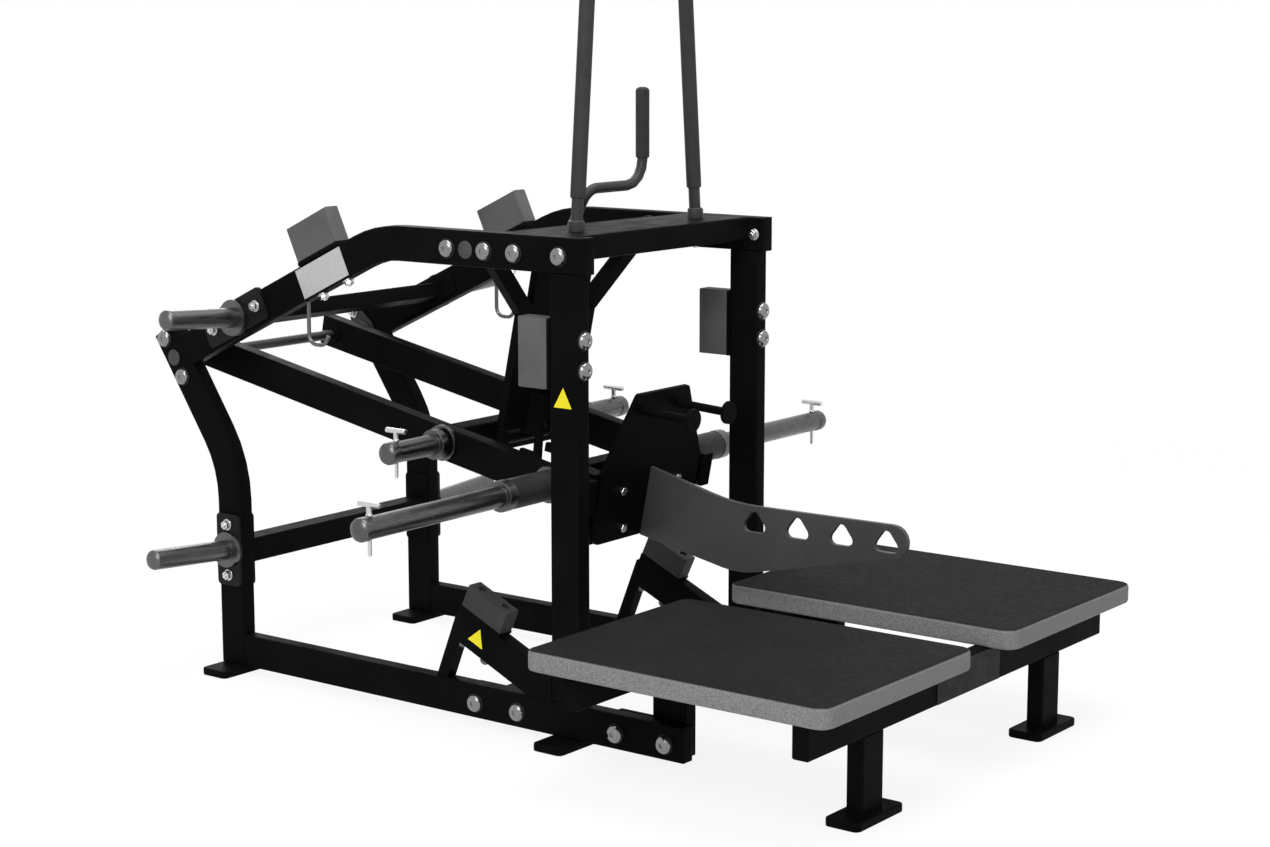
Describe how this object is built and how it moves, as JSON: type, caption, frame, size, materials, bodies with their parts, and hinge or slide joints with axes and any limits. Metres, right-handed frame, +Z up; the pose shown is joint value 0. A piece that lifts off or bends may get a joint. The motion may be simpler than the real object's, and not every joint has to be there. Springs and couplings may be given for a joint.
{
  "type": "plate-loaded belt squat machine",
  "caption": "Free-standing lever machine for weighted squats: loaded horns on a hinged arm pull a hip belt from a nose plate between two foot platforms.",
  "frame": {"origin": "on the floor, under the middle of the overall length and on the machine's centre plane", "axes": "+Z up, +Y towards the rear where the lever is hinged, +X to the right of a user who stands on the platforms and faces the machine"},
  "size_m": [1.758, 2.1732, 1.8006],
  "materials": {
    "frame": "satin black powder coat",
    "platform": "textured black rubber top, speckled grey edge",
    "rubber": "matt dark grey rubber",
    "horn": "dark gunmetal plated steel",
    "sleeve": "matt dark sleeve",
    "steel": "bright zinc plated",
    "bearing": "painted casting",
    "nose_plate": "satin dark grey",
    "grip": "ribbed rubber grip"
  },
  "bodies": {
    "frame": {"left_base_rail": "frame", "right_base_rail": "frame", "left_front_upright": "frame", "right_front_upright": "frame", "left_rear_upright": "frame", "right_rear_upright": "frame", "left_top_beam": "frame", "right_top_beam": "frame", "top_crossmember": "frame", "rear_crossmember": "frame", "upper_crossmember": "frame", "lower_crossmember": "frame", "left_platform": "platform", "right_platform": "platform", "front_platform_frame": "frame", "left_rear_platform_support": "frame", "right_rear_platform_support": "frame", "left_stop_frame": "frame", "right_stop_frame": "frame", "left_stop_pad": "rubber", "right_stop_pad": "rubber", "left_upright_block": "rubber", "right_upright_block": "rubber", "left_beam_block": "rubber", "right_beam_block": "rubber", "left_upper_storage_horn": "horn", "right_upper_storage_horn": "horn", "left_lower_storage_horn": "horn", "right_lower_storage_horn": "horn", "left_belt_hook": "steel", "right_belt_hook": "steel", "left_hand_support": "frame", "right_hand_support": "frame", "left_hand_grip": "grip", "right_hand_grip": "grip", "left_lever_bearing": "bearing", "right_lever_bearing": "bearing", "left_lockout_bearing": "bearing", "right_lockout_bearing": "bearing"},
    "lever": {"left_lever_arm": "frame", "right_lever_arm": "frame", "lever_shaft": "steel", "front_crossbar": "frame", "mid_crossbar": "frame", "front_plate": "frame", "nose_plate": "nose_plate", "left_main_horn": "horn", "right_main_horn": "horn", "left_landing_sleeve": "sleeve", "right_landing_sleeve": "sleeve", "left_mid_horn": "horn", "right_mid_horn": "horn"},
    "lockout": {"lockout_frame": "frame", "lockout_handle": "frame", "lockout_grip": "grip"},
    "left_main_pin": {"left_main_pin": "steel"},
    "right_main_pin": {"right_main_pin": "steel"},
    "left_mid_pin": {"left_mid_pin": "steel"},
    "right_mid_pin": {"right_mid_pin": "steel"}
  },
  "joints": [
    {"name": "lever_hinge", "type": "hinge", "parent": "frame", "child": "lever", "pos_m": [0, 1.01644, 0.77], "axis": [1, 0, 0], "range_deg": [-10.3, 12]},
    {"name": "lockout_hinge", "type": "hinge", "parent": "frame", "child": "lockout", "pos_m": [0, 0.06144, 1.091], "axis": [1, 0, 0], "range_deg": [-8, 5.5]},
    {"name": "left_main_pin_slide", "type": "slide", "parent": "lever", "child": "left_main_pin", "axis": [0, 0, 1], "range_m": [0, 0.095]},
    {"name": "right_main_pin_slide", "type": "slide", "parent": "lever", "child": "right_main_pin", "axis": [0, 0, 1], "range_m": [0, 0.095]},
    {"name": "left_mid_pin_slide", "type": "slide", "parent": "lever", "child": "left_mid_pin", "axis": [0, 0, 1], "range_m": [0, 0.095]},
    {"name": "right_mid_pin_slide", "type": "slide", "parent": "lever", "child": "right_mid_pin", "axis": [0, 0, 1], "range_m": [0, 0.095]}
  ]
}
